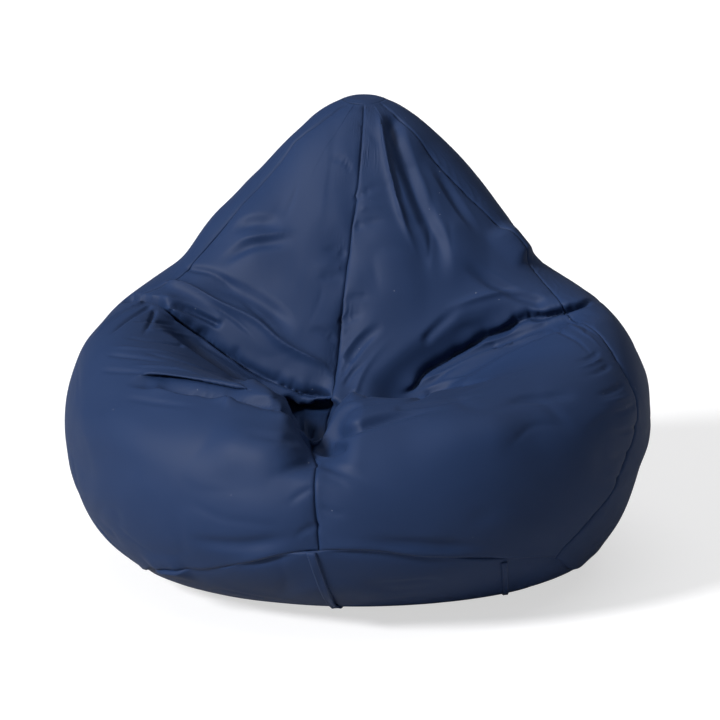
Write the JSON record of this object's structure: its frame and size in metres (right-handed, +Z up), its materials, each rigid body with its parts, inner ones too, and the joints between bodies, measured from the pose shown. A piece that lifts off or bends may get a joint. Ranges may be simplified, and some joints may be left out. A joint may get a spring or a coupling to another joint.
{
  "type": "bean bag chair",
  "caption": "Teardrop bean bag chair: a sewn fabric cover with a sat-in seat hollow, a peaked back, a zipped base, an inner liner and a loose bead fill.",
  "frame": {"origin": "middle of the bounding box at floor level", "axes": "+Z up, the seat opens towards -Y, the peaked back is on the +Y side, +X is to the right seen from the front"},
  "size_m": [0.9036, 0.9158, 0.687],
  "materials": {
    "cover_fabric": "navy woven polyester, slight satin sheen",
    "liner_fabric": "thin off-white woven liner",
    "zip_tape": "navy woven zip tape",
    "zip_coil": "nylon coil",
    "zip_metal": "dark painted zinc",
    "eps_beads": "expanded polystyrene beads"
  },
  "bodies": {
    "bag": {"base_left_panel": "cover_fabric", "base_middle_panel": "cover_fabric", "base_right_panel": "cover_fabric", "bead_fill": "eps_beads", "cover_back_left_panel": "cover_fabric", "cover_back_right_panel": "cover_fabric", "cover_front_left_panel": "cover_fabric", "cover_front_right_panel": "cover_fabric", "cover_side_left_panel": "cover_fabric", "cover_side_right_panel": "cover_fabric", "cover_top_cap": "cover_fabric", "cover_zip_coil_left": "zip_coil", "cover_zip_coil_right": "zip_coil", "cover_zip_stop_back": "zip_metal", "cover_zip_stop_front": "zip_metal", "cover_zip_tape_left": "zip_tape", "cover_zip_tape_right": "zip_tape", "liner_back_left_panel": "liner_fabric", "liner_back_right_panel": "liner_fabric", "liner_base": "liner_fabric", "liner_front_left_panel": "liner_fabric", "liner_front_right_panel": "liner_fabric", "liner_side_left_panel": "liner_fabric", "liner_side_right_panel": "liner_fabric", "liner_top_cap": "liner_fabric", "liner_zip_coil_left": "zip_coil", "liner_zip_coil_right": "zip_coil", "liner_zip_stop_back": "zip_metal", "liner_zip_stop_front": "zip_metal", "liner_zip_tape_left": "zip_tape", "liner_zip_tape_right": "zip_tape", "zip_flap": "cover_fabric"},
    "cover_slider": {"cover_zip_slider": "zip_metal"},
    "liner_slider": {"liner_zip_slider": "zip_metal"}
  },
  "joints": [
    {"name": "cover_zip_slide", "type": "slide", "parent": "bag", "child": "cover_slider", "axis": [0, 1, 0], "range_m": [0, 0.353]},
    {"name": "liner_zip_slide", "type": "slide", "parent": "bag", "child": "liner_slider", "axis": [0, 1, 0], "range_m": [0, 0.353]}
  ]
}
